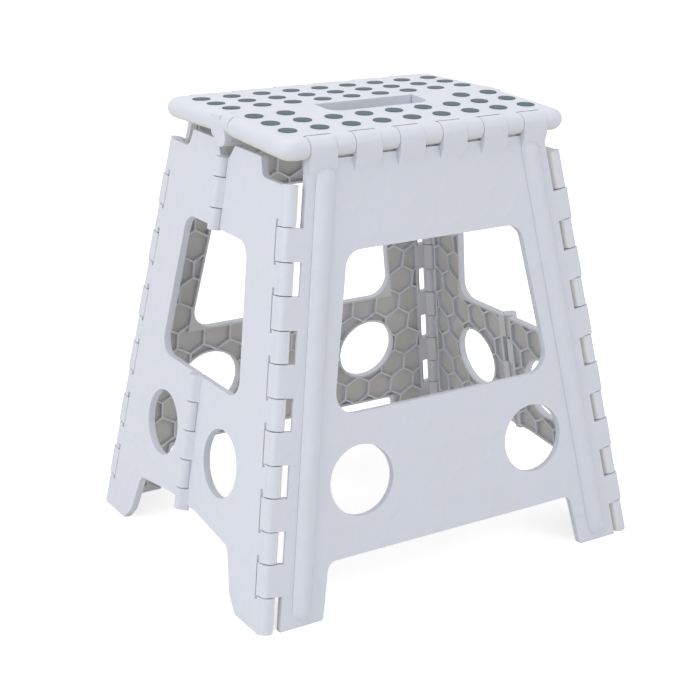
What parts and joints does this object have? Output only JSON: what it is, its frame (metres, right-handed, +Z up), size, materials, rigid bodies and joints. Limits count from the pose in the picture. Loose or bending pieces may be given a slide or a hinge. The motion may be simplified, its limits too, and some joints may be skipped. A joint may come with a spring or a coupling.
{
  "type": "folding step stool",
  "caption": "Folding step stool: ribbed panels hinged at the corners and along the middle, with a hand slot and rubber discs on the seat.",
  "frame": {"origin": "on the floor under the middle of the seat", "axes": "+Z up, X along the seat and its hand slot, the front half of the seat with the slot faces -Y"},
  "size_m": [0.3812, 0.3212, 0.3902],
  "materials": {
    "white_plastic": "fine satin moulded polypropylene",
    "grip_rubber": "soft matt",
    "steel_pin": "drawn wire"
  },
  "bodies": {
    "rear": {"rear_panel": "white_plastic", "rear_left_corner_pin": "steel_pin", "rear_right_corner_pin": "steel_pin", "seat_rear_pin": "steel_pin"},
    "left_rear": {"left_rear_side": "white_plastic", "left_lower_pin": "steel_pin", "left_upper_pin": "steel_pin"},
    "left_front": {"left_front_side": "white_plastic"},
    "front": {"front_panel": "white_plastic", "front_left_corner_pin": "steel_pin", "front_right_corner_pin": "steel_pin", "seat_front_pin": "steel_pin"},
    "right_rear": {"right_rear_side": "white_plastic", "right_lower_pin": "steel_pin", "right_upper_pin": "steel_pin"},
    "right_front": {"right_front_side": "white_plastic"},
    "seat_rear": {"seat_rear": "white_plastic", "seat_middle_pins": "steel_pin", "rear_dots": "grip_rubber"},
    "seat_front": {"seat_front": "white_plastic", "front_dots": "grip_rubber"}
  },
  "joints": [
    {"name": "left_rear_corner", "type": "hinge", "parent": "rear", "child": "left_rear", "pos_m": [-0.18412, 0.15113, 0], "axis": [0.1571, -0.1421, 0.9773], "range_deg": [0, 91.32]},
    {"name": "left_middle_fold", "type": "hinge", "parent": "left_rear", "child": "left_front", "pos_m": [-0.19212, 0, 0], "axis": [-0.1587, 0, -0.9873], "range_deg": [0, 180]},
    {"name": "left_front_corner", "type": "hinge", "parent": "left_front", "child": "front", "pos_m": [-0.18412, -0.15113, 0], "axis": [0.1571, 0.1421, 0.9773], "range_deg": [0, 91.32]},
    {"name": "right_rear_corner", "type": "hinge", "parent": "rear", "child": "right_rear", "pos_m": [0.18412, 0.15113, 0], "axis": [0.1571, 0.1421, -0.9773], "range_deg": [0, 91.32]},
    {"name": "right_middle_fold", "type": "hinge", "parent": "right_rear", "child": "right_front", "pos_m": [0.19212, 0, 0], "axis": [-0.1587, 0, 0.9873], "range_deg": [0, 180]},
    {"name": "seat_rear_edge", "type": "hinge", "parent": "rear", "child": "seat_rear", "pos_m": [0, 0.10025, 0.3781], "axis": [-1, 0, 0], "range_deg": [0, 78.42]},
    {"name": "seat_front_edge", "type": "hinge", "parent": "front", "child": "seat_front", "pos_m": [0, -0.10025, 0.3781], "axis": [1, 0, 0], "range_deg": [0, 78.42]}
  ],
  "couplings": [
    {"joint": "left_rear_corner", "follows": "left_middle_fold", "ratio": 0.50727},
    {"joint": "left_front_corner", "follows": "left_middle_fold", "ratio": 0.50727},
    {"joint": "right_rear_corner", "follows": "left_middle_fold", "ratio": 0.50727},
    {"joint": "right_middle_fold", "follows": "left_middle_fold", "ratio": 1},
    {"joint": "seat_rear_edge", "follows": "left_middle_fold", "ratio": 0.4356},
    {"joint": "seat_front_edge", "follows": "left_middle_fold", "ratio": 0.4356}
  ]
}
